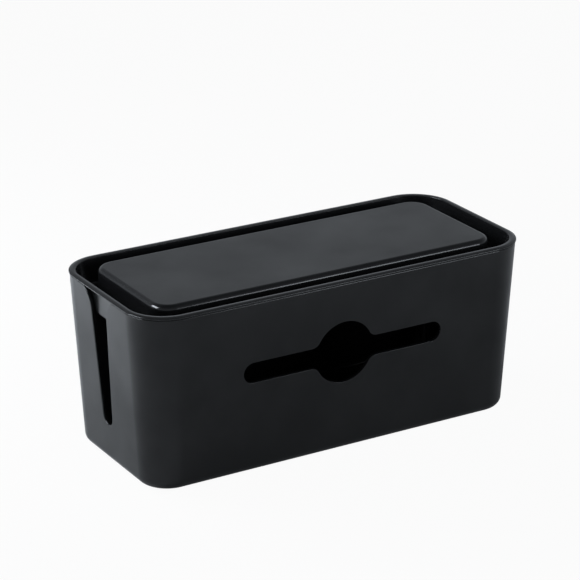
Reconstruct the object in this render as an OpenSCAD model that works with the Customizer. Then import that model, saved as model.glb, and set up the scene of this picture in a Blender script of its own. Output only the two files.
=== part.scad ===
// Cable box: a moulded tub with a drop-in lid, four rubber feet and a clear
// stick-on plate that the box hangs on.
// Millimetres, +Z up, length along X, slotted front towards -Y. The origin is
// at the middle of the whole outline, on the surface that the feet stand on.

/* [Box] */
// Length over the rim
box_length = 270.8; // [240:0.2:300]
// Depth over the rim, front to back
box_depth = 119.2; // [106:0.2:132]
// Height of the rim above the underside of the box
rim_height = 112.4; // [100:0.2:126]
// Corner radius of the rim, seen from above
corner_radius = 26.3; // [22:0.1:29]
// Angle by which the walls lean in towards the base
wall_draft = 3.34; // [2:0.01:4]
// Thickness of the walls
wall = 2.2; // [1.8:0.1:2.4]
// Thickness of the floor
floor_thickness = 2.4; // [1.8:0.1:3]
// Radius of the rounded edge round the base
base_edge_radius = 5.7; // [4.5:0.1:7]
// Radius of the softened outer edge at the top of the walls
lip_radius = 0.8; // [0.4:0.1:1.2]

/* [Front outlet] */
// Length of the slot across the front
outlet_length = 139; // [110:1:160]
// Height of that slot
outlet_height = 13.2; // [10:0.2:16]
// Diameter of the round hole in its middle
outlet_diameter = 40; // [34:0.5:46]
// Radius that blends the hole into the slot
outlet_blend = 6; // [3:0.5:7]
// Height of the slot's middle above the underside
outlet_centre = 66.1; // [60:0.1:70]

/* [End slots] */
// Radius of the rounded bottom of each end slot
end_slot_radius = 5.8; // [5:0.1:7]
// Height of the slot's lowest point above the underside
end_slot_bottom = 25.6; // [18:0.1:34]
// Angle by which each side of the slot leans outwards going up
end_slot_lean = 3.2; // [1:0.1:4]
// Radius of the flare where the slot runs out at the top of the wall
end_slot_flare = 13; // [8:0.5:14]
// Distance of the slots from the middle of the ends, towards the back
end_slot_offset = 2.5; // [0:0.1:4]

/* [Lid] */
// Thickness of the lid's rim
rim_thickness = 1.6; // [1.4:0.1:2.2]
// Radius of the rim's outer edge
rim_edge_radius = 0.6; // [0.4:0.1:1.2]
// How far the rim stands out beyond the walls
rim_overhang = 0.4; // [0:0.1:0.6]
// Width of the rim along the front and back
rim_width_side = 4.6; // [4.4:0.1:6]
// Width of the rim along the ends
rim_width_end = 3.9; // [3.8:0.1:5]
// Corner radius of the rim's inner edge
channel_corner_radius = 22.4; // [18:0.1:24]
// Angle by which the channel's outer side leans in towards its floor
channel_draft = 6.6; // [5:0.1:8]
// Depth of the lid below the top of its rim
lid_depth = 17.7; // [14:0.1:22]
// Thickness of the channel's floor and of the panel
lid_wall = 1.8; // [1.4:0.1:2.2]
// Gap between the lid's skirt and the walls of the box
lid_gap = 0.3; // [0.2:0.05:0.4]
// Length of the raised panel
panel_length = 236.6; // [200:0.2:240]
// Depth of the raised panel, front to back
panel_depth = 87.8; // [70:0.2:92]
// Corner radius of the raised panel
panel_corner_radius = 12.5; // [8:0.5:16]
// Radius of the panel's rounded edge
panel_edge_radius = 3.5; // [2:0.1:4.5]
// Height of the panel above the rim
panel_rise = 0.9; // [0:0.1:3]

/* [Feet] */
// Diameter of a foot
foot_diameter = 14; // [10:0.5:18]
// Thickness of a foot
foot_thickness = 2; // [1.6:0.1:3]
// Depth of the recess that a foot is stuck into
foot_recess = 0.8; // [0.5:0.1:1.2]
// Height of the bevel round a foot's lower edge
foot_bevel = 0.4; // [0.2:0.1:0.6]

/* [Wall plate] */
// Length of the film
film_length = 117; // [100:1:130]
// Height of the film
film_height = 49; // [40:1:58]
// Corner radius of the film
film_corner_radius = 4; // [2:0.5:8]
// Thickness of the film
film_thickness = 0.5; // [0.3:0.1:0.8]
// Thickness of the adhesive
adhesive_thickness = 0.8; // [0.4:0.1:1.2]
// Length of the bar over its tongues
bar_length = 88; // [80:1:96]
// Height of the bar
bar_height = 21.6; // [18:0.2:26]
// How far the bar stands out from the film
bar_thickness = 4.8; // [4.4:0.1:6]
// Length of the tongue at each end of the bar
tongue_length = 6.3; // [5:0.1:7]
// Thickness of a tongue
tongue_thickness = 1.8; // [1.4:0.1:2]
// Width of the window in the middle of the bar
middle_window = 31.9; // [26:0.1:33]
// Width of the window at each side of it
side_window = 17.8; // [14:0.1:18]
// Height of the windows
window_height = 16.6; // [13:0.2:17]
// Width of the ribs between the windows
window_rib = 2; // [1.4:0.1:2.4]
// Thickness left behind the windows
window_floor = 1.2; // [0.8:0.1:1.6]
// Height of the plate's middle above the underside of the box
plate_centre = 74; // [68:0.5:80]

/* [Hanging rails] */
// Thickness of a rail's web and of its stop
rail_wall = 2.4; // [2:0.1:3]
// Thickness of the lip that a tongue slides behind
rail_lip = 1.8; // [1.4:0.1:2]
// Gap between the lip's edge and the side of the bar
lip_clearance = 1.3; // [0.6:0.1:2]
// Gap between a tongue and its rail
rail_gap = 0.3; // [0.2:0.05:0.4]

/* [Hidden] */
$fn = 96;

black = "#17181a";
rubber_black = "#101010";
clear = [0.86, 0.88, 0.9, 0.5];
clear_film = [0.8, 0.82, 0.84, 0.45];

over = 10;                        // how far a cutter runs past what it cuts
slope = tan(wall_draft);
wall_top = rim_height - rim_thickness;
panel_top = rim_height + panel_rise;
lid_bottom = rim_height - lid_depth;
channel_floor = lid_bottom + lid_wall;
foot_stand = foot_thickness - foot_recess;

// Corner axes of the box, which all its own outlines share
corner_x = box_length / 2 - corner_radius;
corner_y = box_depth / 2 - corner_radius;
// Corner axes of the rim's inner edge and of the panel
channel_x = box_length / 2 - rim_width_end - channel_corner_radius;
channel_y = box_depth / 2 - rim_width_side - channel_corner_radius;
panel_x = panel_length / 2 - panel_corner_radius;
panel_y = panel_depth / 2 - panel_corner_radius;

// The bar's front clears the back wall at the height of its upper edge
bar_top = plate_centre + bar_height / 2;
bar_front = corner_y + wall_radius(bar_top) + rail_gap;
bar_back = bar_front + bar_thickness;
film_back = bar_back + film_thickness;
plate_back = film_back + adhesive_thickness;
// Half of what the plate stands out behind the rim, so that the outline is centred
centre_shift = (plate_back - box_depth / 2) / 2;

// Radius of the outer wall about its corner axis at a height
function wall_radius(z) = corner_radius - rim_overhang - slope * (rim_height - z);

// Distance from a leaning side to the centre of a fillet that touches it
function fillet_inset(radius, angle) = radius * (1 / cos(angle) - tan(angle));

// Rounds a length to a micrometre, so that an arc and a line share their end exactly
function to_micron(length) = round(1000 * length) / 1000;

// Section of a block with leaning sides and a rounded lower edge, inset from
// the outer wall: X is the distance from a corner axis and Y the height
module leaning_section(inset, low, high, low_radius) {
    side_low = wall_radius(low) - inset;
    centre = side_low - fillet_inset(low_radius, wall_draft);
    polygon([
        [0, low], [centre, low], [centre, low + low_radius],
        [centre + low_radius * cos(wall_draft), low + low_radius * (1 - sin(wall_draft))],
        [wall_radius(high) - inset, high], [0, high],
    ]);
    translate([centre, low + low_radius]) circle(low_radius);
}

// Section of an upright block with a rounded upper edge
module upright_section(radius, low, high, high_radius) {
    polygon([
        [0, low], [radius, low], [radius, high - high_radius],
        [radius - high_radius, high - high_radius], [radius - high_radius, high], [0, high],
    ]);
    translate([radius - high_radius, high - high_radius]) intersection() {
        circle(high_radius);
        square(high_radius);
    }
}

// Carries a section round a rounded rectangle with its corner axes at
// (+-axis_x, +-axis_y), and fills the middle between the heights low and high
module around(axis_x, axis_y, low, high) {
    for (i = [0 : 3]) {
        side_x = (i == 0 || i == 3) ? 1 : -1;
        side_y = (i < 2) ? 1 : -1;
        translate([side_x * axis_x, side_y * axis_y, 0]) rotate([0, 0, 90 * i])
            rotate_extrude(angle = 90) children();
    }
    for (turn = [0, 180]) rotate([0, 0, turn]) {
        translate([axis_x, 0, 0]) rotate([90, 0, 0])
            linear_extrude(height = 2 * axis_y, center = true) children();
        translate([0, axis_y, 0]) rotate([90, 0, 90])
            linear_extrude(height = 2 * axis_x, center = true) children();
    }
    translate([-axis_x, -axis_y, low]) cube([2 * axis_x, 2 * axis_y, high - low]);
}

// Puts a piece that is drawn about the box's middle into the common frame
module placed() {
    translate([0, -centre_shift, foot_stand]) children();
}

// Outline of the front outlet about its middle
module outlet_outline() {
    half = outlet_height / 2;
    hole = outlet_diameter / 2;
    blend_y = half + outlet_blend;
    blend_x = sqrt(pow(hole + outlet_blend, 2) - pow(blend_y, 2));
    touch = hole / (hole + outlet_blend);
    circle(hole);
    square([outlet_length - outlet_height, outlet_height], center = true);
    for (side = [-1, 1]) translate([side * (outlet_length - outlet_height) / 2, 0]) circle(half);
    for (side_x = [0, 1]) for (side_y = [0, 1]) mirror([side_x, 0]) mirror([0, side_y])
        difference() {
            polygon([
                [0, 0], [blend_x, 0], [blend_x, half],
                [blend_x, blend_y], [touch * blend_x, touch * blend_y],
            ]);
            translate([blend_x, blend_y]) circle(outlet_blend);
        }
}

// Outline of an end slot: X across the end, Y the height above the underside.
// A side runs from the end of the half circle to the side of the flare's arc
module end_slot_outline() {
    low_z = end_slot_bottom + end_slot_radius;
    flare_z = wall_top - end_slot_flare;
    flare_y = to_micron(end_slot_radius + (flare_z - low_z) * tan(end_slot_lean) + end_slot_flare);
    translate([0, low_z]) circle(end_slot_radius);
    for (flip = [0, 1]) mirror([flip, 0]) difference() {
        polygon([
            [0, low_z], [end_slot_radius, low_z], [flare_y - end_slot_flare, flare_z],
            [flare_y, flare_z], [flare_y, wall_top + over], [0, wall_top + over],
        ]);
        translate([flare_y, flare_z]) circle(end_slot_flare);
    }
}

// One L-shaped rail with its stop, at the right end of the bar
module rail() {
    root = corner_y;
    web_in = bar_length / 2 + rail_gap;
    web_out = web_in + rail_wall;
    lip_in = bar_length / 2 - tongue_length + lip_clearance;
    lip_front = bar_front + tongue_thickness + rail_gap;
    lip_back = lip_front + rail_lip;
    low = plate_centre - bar_height / 2;
    translate([web_in, root, low]) cube([rail_wall, lip_back - root, bar_height + rail_wall]);
    translate([lip_in, lip_front, low]) cube([web_out - lip_in, rail_lip, bar_height + rail_wall]);
    translate([lip_in, root, bar_top]) cube([web_out - lip_in, lip_back - root, rail_wall]);
}

// Tub with its outlet, end slots, foot recesses and hanging rails
module box_body() {
    color(black) placed() difference() {
        union() {
            intersection() {
                around(corner_x, corner_y, 0, wall_top)
                    leaning_section(0, 0, wall_top, base_edge_radius);
                around(corner_x, corner_y, 0, wall_top)
                    upright_section(wall_radius(wall_top), 0, wall_top, lip_radius);
            }
            for (flip = [0, 1]) mirror([flip, 0, 0]) rail();
        }
        around(corner_x, corner_y, floor_thickness, wall_top + over)
            leaning_section(wall, floor_thickness, wall_top + over, base_edge_radius - wall);
        translate([0, -box_depth / 2 + 2 * over, outlet_centre]) rotate([90, 0, 0])
            linear_extrude(height = 3 * over) outlet_outline();
        for (flip = [0, 1]) mirror([flip, 0, 0])
            translate([box_length / 2 - 2 * over, end_slot_offset, 0]) rotate([90, 0, 90])
                linear_extrude(height = 3 * over) end_slot_outline();
        foot_places() translate([0, 0, -over]) cylinder(h = over + foot_recess, d = foot_diameter);
    }
}

// Puts its children at all four feet
module foot_places() {
    for (side_x = [-1, 1]) for (side_y = [-1, 1])
        translate([side_x * corner_x, side_y * corner_y, 0]) children();
}

// Space above the floor of the lid's channel, as wide as the rim's inner edge
module channel_space() {
    around(channel_x, channel_y, channel_floor, rim_height + over)
        polygon([
            [0, channel_floor],
            [channel_corner_radius - tan(channel_draft) * (rim_height - channel_floor), channel_floor],
            [channel_corner_radius, rim_height], [channel_corner_radius, rim_height + over],
            [0, rim_height + over],
        ]);
}

// Raised panel as a solid block, made smaller all round by the given inset
module panel_block(inset, low) {
    around(panel_x, panel_y, low, panel_top - inset)
        upright_section(panel_corner_radius - inset, low, panel_top - inset, panel_edge_radius - inset);
}

// Lid: rim, skirt, channel and raised panel
module lid() {
    color(black) placed() difference() {
        union() {
            difference() {
                union() {
                    around(corner_x, corner_y, wall_top, rim_height)
                        upright_section(corner_radius, wall_top, rim_height, rim_edge_radius);
                    around(corner_x, corner_y, lid_bottom, wall_top)
                        leaning_section(wall + lid_gap, lid_bottom, wall_top, lid_wall);
                }
                channel_space();
            }
            panel_block(0, channel_floor);
        }
        panel_block(lid_wall, lid_bottom - over);
    }
}

// Foot with a bevelled lower edge, at the given corner of the base
module foot(side_x, side_y) {
    color(rubber_black) translate([side_x * corner_x, side_y * corner_y - centre_shift, 0]) {
        cylinder(h = foot_bevel, d1 = foot_diameter - 2 * foot_bevel, d2 = foot_diameter);
        translate([0, 0, foot_bevel]) cylinder(h = foot_thickness - foot_bevel, d = foot_diameter);
    }
}

// Bar with three windows and a thin tongue at each end
module hanger_bar() {
    body_length = bar_length - 2 * tongue_length;
    side_x = middle_window / 2 + window_rib + side_window / 2;
    windows = [[0, middle_window], [-side_x, side_window], [side_x, side_window]];
    color(clear) placed() translate([0, bar_front, plate_centre]) difference() {
        union() {
            translate([-body_length / 2, 0, -bar_height / 2])
                cube([body_length, bar_thickness, bar_height]);
            translate([-bar_length / 2, 0, -bar_height / 2])
                cube([bar_length, tongue_thickness, bar_height]);
        }
        for (w = windows) translate([w[0] - w[1] / 2, -over, -window_height / 2])
            cube([w[1], over + bar_thickness - window_floor, window_height]);
    }
}

// Upright sheet with rounded corners, with its front at the given depth
module sheet(front, thickness) {
    placed() translate([0, front + thickness, plate_centre]) rotate([90, 0, 0])
        linear_extrude(height = thickness) {
            square([film_length - 2 * film_corner_radius, film_height], center = true);
            square([film_length, film_height - 2 * film_corner_radius], center = true);
            for (side_x = [-1, 1]) for (side_y = [-1, 1])
                translate([
                    side_x * (film_length / 2 - film_corner_radius),
                    side_y * (film_height / 2 - film_corner_radius),
                ]) circle(film_corner_radius);
        }
}

// Film that the bar is bonded to
module backing_film() {
    color(clear_film) sheet(bar_back, film_thickness);
}

// Adhesive on the wall side of the film
module adhesive_layer() {
    color(clear_film) sheet(film_back, adhesive_thickness);
}

box_body();
lid();
foot(-1, -1);  // foot_front_left
foot(1, -1);  // foot_front_right
foot(-1, 1);  // foot_back_left
foot(1, 1);  // foot_back_right
hanger_bar();
backing_film();
adhesive_layer();
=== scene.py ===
"""Cable box: a moulded tub with a drop-in lid and four rubber feet, and the clear plate that it hangs on.

Lengths are in metres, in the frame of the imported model: X along the box, Y from the slotted front to
the back, Z up from the surface that the feet stand on. Angles are in radians unless degrees are named.
"""

import logging
import math
from dataclasses import dataclass, field
from enum import Enum
from typing import Any, ClassVar, Iterable, Sequence

import bmesh
import bpy
from bmesh.types import BMEdge, BMesh, BMFace, BMVert
from mathutils import Matrix, Vector

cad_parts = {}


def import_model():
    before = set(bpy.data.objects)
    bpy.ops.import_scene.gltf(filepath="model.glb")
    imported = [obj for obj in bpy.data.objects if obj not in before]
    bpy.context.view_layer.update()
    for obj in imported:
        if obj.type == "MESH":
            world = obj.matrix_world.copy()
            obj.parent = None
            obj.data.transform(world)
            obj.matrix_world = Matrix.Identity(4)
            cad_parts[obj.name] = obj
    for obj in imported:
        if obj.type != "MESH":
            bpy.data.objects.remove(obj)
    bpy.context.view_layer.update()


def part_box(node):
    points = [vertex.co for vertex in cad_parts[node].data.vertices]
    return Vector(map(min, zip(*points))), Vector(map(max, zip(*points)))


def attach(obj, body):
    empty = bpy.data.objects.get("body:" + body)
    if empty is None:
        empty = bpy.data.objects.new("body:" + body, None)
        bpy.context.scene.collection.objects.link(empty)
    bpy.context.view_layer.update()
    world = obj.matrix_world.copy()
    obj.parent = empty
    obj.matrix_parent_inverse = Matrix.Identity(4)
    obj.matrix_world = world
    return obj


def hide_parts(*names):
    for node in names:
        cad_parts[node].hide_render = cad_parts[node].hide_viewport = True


MM = 0.001
EDGE_LAYER = "edge"
CORNER_LAYER = "corner"

# Cosine above which two directions count as the same
SAME_WAY = 1 - 1e-5
# Turn of the surface above which an edge is a corner to be rounded
CORNER_TURN = math.radians(60)
# Turn below which neighbouring faces count as one flat face
FLAT_TURN = 0.01
# Distance below which two places count as the same
SAME_PLACE = 1e-6
# Number of faces across a small rounded edge and a wider one
FINE = 3
SOFT = 4

BACK = Vector((0.0, 1.0, 0.0))
FRONT = Vector((0.0, -1.0, 0.0))
LEFT = Vector((-1.0, 0.0, 0.0))
RIGHT = Vector((1.0, 0.0, 0.0))
UP = Vector((0.0, 0.0, 1.0))
DOWN = Vector((0.0, 0.0, -1.0))

Colour = tuple[float, float, float]
WHITE: Colour = (1.0, 1.0, 1.0)

log = logging.getLogger("cable_box")


class Body(Enum):
    """The rigid bodies of the frame."""

    BOX = "box"
    LID = "lid"
    PLATE = "plate"


class Slot(Enum):
    """The material slots of the record."""

    BOX = "box_plastic"
    LID = "lid_plastic"
    FOOT = "foot_rubber"
    BAR = "clear_plastic"
    FILM = "clear_film"
    ADHESIVE = "clear_adhesive"


class Role(Enum):
    """What a lamp does: light faces without a mirror image in them, or only give that image."""

    LIGHT = "light"
    GLINT = "glint"


# ---------------------------------------------------------------- mesh tools


def once(items: Iterable[Any]) -> list[Any]:
    """Returns the items in their order, each of them once."""
    return list(dict.fromkeys(items))


def verts_of(geom: Iterable[Any]) -> list[BMVert]:
    """Returns the vertices among what an operator gave back."""
    return [item for item in geom if isinstance(item, BMVert)]


def edges_of(geom: Iterable[Any]) -> list[BMEdge]:
    """Returns the edges among what an operator gave back."""
    return [item for item in geom if isinstance(item, BMEdge)]


def sharp_edges(bm: BMesh) -> list[BMEdge]:
    """Returns the edges at which the surface turns sharply."""
    return [edge for edge in bm.edges if edge.is_manifold and edge.calc_face_angle() > CORNER_TURN]


def faces_towards(bm: BMesh, direction: Vector) -> list[BMFace]:
    """Returns the faces whose normal is the given direction."""
    return [face for face in bm.faces if face.normal.dot(direction.normalized()) > SAME_WAY]


def largest(faces: Iterable[BMFace]) -> BMFace:
    """Returns the face with the largest area."""
    return max(faces, key=lambda face: face.calc_area())


def outward(bm: BMesh) -> None:
    """Makes all the faces point the same way, which is outwards where the mesh is closed."""
    bmesh.ops.recalc_face_normals(bm, faces=bm.faces[:])


def round_edges(bm: BMesh, edges: Sequence[BMEdge], radius: float, segments: int) -> None:
    """Rounds edges that all turn by the same angle, and sets the edge layer to 1 inside the new surface.

    Args:
        bm: the mesh.
        edges: the edges to round.
        radius: radius of the rounded surface.
        segments: number of faces across it.
    """
    turn = sum(edge.calc_face_angle() for edge in edges) / len(edges)
    made = bmesh.ops.bevel(
        bm,
        geom=list(edges),
        offset=radius * math.tan(turn / 2),
        offset_type="OFFSET",
        segments=segments,
        profile=0.5,
        affect="EDGES",
        clamp_overlap=False,
        material=-1,
    )
    layer = bm.verts.layers.float.get(EDGE_LAYER) or bm.verts.layers.float.new(EDGE_LAYER)
    band = set(made["faces"])
    for vert in {vert for face in band for vert in face.verts}:
        if all(face in band for face in vert.link_faces):
            vert[layer] = 1.0


def spin_point(bm: BMesh, start: BMVert, centre: Sequence[float], angle: float, steps: int) -> BMVert:
    """Draws an arc by turning a point about an upright axis.

    Args:
        bm: the mesh.
        start: the arc's first point.
        centre: a place on the axis.
        angle: how far the arc goes, counterclockwise seen from above.
        steps: number of edges along it.

    Returns:
        The arc's last point.
    """
    made = bmesh.ops.spin(
        bm, geom=[start], cent=centre, axis=UP, angle=angle, steps=steps, use_duplicate=False
    )
    return verts_of(made["geom_last"])[0]


def pull_faces(bm: BMesh, faces: list[BMFace], move: Vector) -> None:
    """Extrudes faces of a solid in one piece.

    Args:
        bm: the mesh.
        faces: the faces.
        move: how far the new faces are moved.
    """
    made = bmesh.ops.extrude_face_region(bm, geom=faces)["geom"]
    bmesh.ops.delete(bm, geom=faces, context="FACES_ONLY")
    bmesh.ops.translate(bm, vec=move, verts=verts_of(made))


def cut(bm: BMesh, point: Vector, normal: Vector) -> None:
    """Divides all faces along a plane."""
    geom = bm.verts[:] + bm.edges[:] + bm.faces[:]
    bmesh.ops.bisect_plane(bm, geom=geom, plane_co=point, plane_no=normal)


def block(bm: BMesh, low: Vector, high: Vector) -> None:
    """Makes a block between two corners."""
    place = Matrix.Translation((low + high) / 2) @ Matrix.Diagonal((*(high - low), 1.0))
    bmesh.ops.create_cube(bm, size=1.0, matrix=place)


def mesh_of(bm: BMesh, name: str) -> bpy.types.Mesh:
    """Writes a mesh in work to mesh data and frees it.

    Args:
        bm: the mesh in work.
        name: the data's name.

    Returns:
        The mesh data.
    """
    mesh = bpy.data.meshes.new(name)
    bm.to_mesh(mesh)
    bm.free()
    return mesh


def add_to(bm: BMesh, other: BMesh) -> None:
    """Adds another mesh in work, which is freed.

    Args:
        bm: the mesh to add to.
        other: the mesh that is added.
    """
    mesh = mesh_of(other, "part")
    bm.from_mesh(mesh)
    bpy.data.meshes.remove(mesh)


def add_object(name: str, data: bpy.types.ID) -> bpy.types.Object:
    """Puts data in the scene.

    Args:
        name: name of the object.
        data: its mesh, lamp or camera.

    Returns:
        The object, which stands at the origin.
    """
    obj = bpy.data.objects.new(name, data)
    bpy.context.scene.collection.objects.link(obj)
    return obj


class Pen:
    """Draws a wire in the XY plane: straight runs by extruding a point, and arcs by spinning it."""

    def __init__(self, bm: BMesh, x: float, y: float) -> None:
        """Starts the wire.

        Args:
            bm: the mesh to draw in.
            x: where the wire starts, across.
            y: where the wire starts, up.
        """
        self.bm = bm
        self.known = set(bm.edges)
        self.first = bm.verts.new((x, y, 0.0))
        self.tip = self.first

    def line(self, x: float, y: float) -> None:
        """Draws a straight run to a point."""
        self.tip = bmesh.ops.extrude_vert_indiv(self.bm, verts=[self.tip])["verts"][0]
        bmesh.ops.translate(self.bm, vec=Vector((x, y, 0.0)) - self.tip.co, verts=[self.tip])

    def arc(self, x: float, y: float, degrees: float, steps: int) -> None:
        """Turns about a centre, counterclockwise for positive degrees."""
        self.tip = spin_point(self.bm, self.tip, (x, y, 0.0), math.radians(degrees), steps)

    def close(self) -> None:
        """Joins the wire's end, which lies on its start."""
        bmesh.ops.weld_verts(self.bm, targetmap={self.tip: self.first})
        self.tip = self.first

    def place(self, matrix: Matrix) -> list[BMEdge]:
        """Moves the wire out of the XY plane.

        Args:
            matrix: where the plane's axes lie.

        Returns:
            The wire's edges.
        """
        wire = [edge for edge in self.bm.edges if edge not in self.known]
        verts = once(vert for edge in wire for vert in edge.verts)
        bmesh.ops.transform(self.bm, matrix=matrix, verts=verts)
        return wire


@dataclass(frozen=True)
class Outline:
    """A rounded rectangle seen from above, given by the axes of its corners.

    Attributes:
        reach_x: distance of the corner axes from the middle, along X.
        reach_y: distance of the corner axes from the middle, along Y.
        middle_y: where the middle lies along Y.
    """

    reach_x: float
    reach_y: float
    middle_y: float

    def corners(self) -> list[Vector]:
        """Returns the four corner axes, counterclockwise from the right back one."""
        signs = ((1, 1), (-1, 1), (-1, -1), (1, -1))
        return [Vector((x * self.reach_x, self.middle_y + y * self.reach_y, 0.0)) for x, y in signs]


@dataclass(frozen=True)
class Station:
    """A turn of a shell's section, which runs all the way round an outline.

    Attributes:
        outline: the outline that the turn follows.
        radius: radius of its corners.
        height: its height.
        fillet: radius that rounds the turn, or 0 for none.
        segments: number of faces across that fillet.
    """

    outline: Outline
    radius: float
    height: float
    fillet: float = 0.0
    segments: int = SOFT


class Shell:
    """A skin that is carried from station to station round rounded outlines."""

    def __init__(self, bm: BMesh, stations: Sequence[Station], steps: int) -> None:
        """Makes the skin, still with sharp turns.

        Args:
            bm: an empty mesh.
            stations: the turns of its section, in order.
            steps: number of edges along each corner.
        """
        self.bm = bm
        self.stations = stations
        self.steps = steps
        self.corner = bm.verts.layers.int.new(CORNER_LAYER)
        self.rings = [self._first_ring(stations[0])]
        for before, after in zip(stations, stations[1:]):
            self.rings.append(self._carry(self.rings[-1], before, after))

    @classmethod
    def solid(cls, stations: Sequence[Station], steps: int) -> BMesh:
        """Makes a solid, closed at both ends of its section.

        Args:
            stations: the turns of its section, in order.
            steps: number of edges along each corner.

        Returns:
            The solid, with its turns rounded.
        """
        bm = bmesh.new()
        shell = cls(bm, stations, steps)
        shell.cap(0)
        shell.cap(-1)
        outward(bm)
        shell.round_turns()
        outward(bm)
        return bm

    def _first_ring(self, station: Station) -> list[BMEdge]:
        """Spins the arc of each corner and joins the arcs.

        Args:
            station: the first turn of the section.

        Returns:
            The ring's edges.
        """
        ends = []
        quarter = math.pi / 2
        for number, axis in enumerate(station.outline.corners()):
            known = set(self.bm.verts)
            arm = Vector((station.radius, 0.0, station.height))
            start = self.bm.verts.new(axis + Matrix.Rotation(number * quarter, 3, "Z") @ arm)
            last = spin_point(self.bm, start, axis, quarter, self.steps)
            for vert in set(self.bm.verts) - known:
                vert[self.corner] = number
            ends.append((start, last))
        for (_, last), (first, _) in zip(ends, ends[1:] + ends[:1]):
            self.bm.edges.new((last, first))
        return list(self.bm.edges)

    def _carry(self, ring: list[BMEdge], before: Station, after: Station) -> list[BMEdge]:
        """Extrudes a ring and moves each of its corners to the next station.

        Args:
            ring: the ring's edges.
            before: the station that it lies on.
            after: the next station.

        Returns:
            The new ring's edges.
        """
        made = bmesh.ops.extrude_edge_only(self.bm, edges=ring)["geom"]
        grow = after.radius / before.radius
        for number, (old, new) in enumerate(zip(before.outline.corners(), after.outline.corners())):
            own = [vert for vert in verts_of(made) if vert[self.corner] == number]
            bmesh.ops.scale(self.bm, vec=(grow, grow, 1.0), space=Matrix.Translation(-old), verts=own)
            rise = Vector((0.0, 0.0, after.height - before.height))
            bmesh.ops.translate(self.bm, vec=new - old + rise, verts=own)
        return edges_of(made)

    def cap(self, number: int) -> None:
        """Closes one ring with a flat face."""
        bmesh.ops.contextual_create(self.bm, geom=self.rings[number])

    def round_turns(self) -> None:
        """Rounds each turn that has a fillet."""
        for ring, station in zip(self.rings, self.stations):
            if station.fillet:
                round_edges(self.bm, ring, station.fillet, station.segments)


# ---------------------------------------------------------------- shader tools


class Value:
    """A number that varies over a surface. Arithmetic on it adds Math nodes to its material."""

    def __init__(self, graph: "Graph", socket: bpy.types.NodeSocket) -> None:
        """Wraps a socket of a material's node tree."""
        self.graph = graph
        self.socket = socket

    def _math(self, operation: str, *terms: "Value | float") -> "Value":
        """Adds a Math node for the given terms and returns its result."""
        node = self.graph.node("ShaderNodeMath", {"operation": operation}, dict(enumerate(terms)))
        return self.graph.value(node)

    def __add__(self, other: "Value | float") -> "Value":
        """Adds."""
        return self._math("ADD", self, other)

    __radd__ = __add__

    def __mul__(self, other: "Value | float") -> "Value":
        """Multiplies."""
        return self._math("MULTIPLY", self, other)

    __rmul__ = __mul__

    def __sub__(self, other: "Value | float") -> "Value":
        """Subtracts."""
        return self._math("SUBTRACT", self, other)

    def __rsub__(self, other: "Value | float") -> "Value":
        """Subtracts from a plain number."""
        return self._math("SUBTRACT", other, self)

    def at_most(self, other: "Value | float") -> "Value":
        """Returns the smaller of the two."""
        return self._math("MINIMUM", self, other)

    def at_least(self, other: "Value | float") -> "Value":
        """Returns the larger of the two."""
        return self._math("MAXIMUM", self, other)


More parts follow.
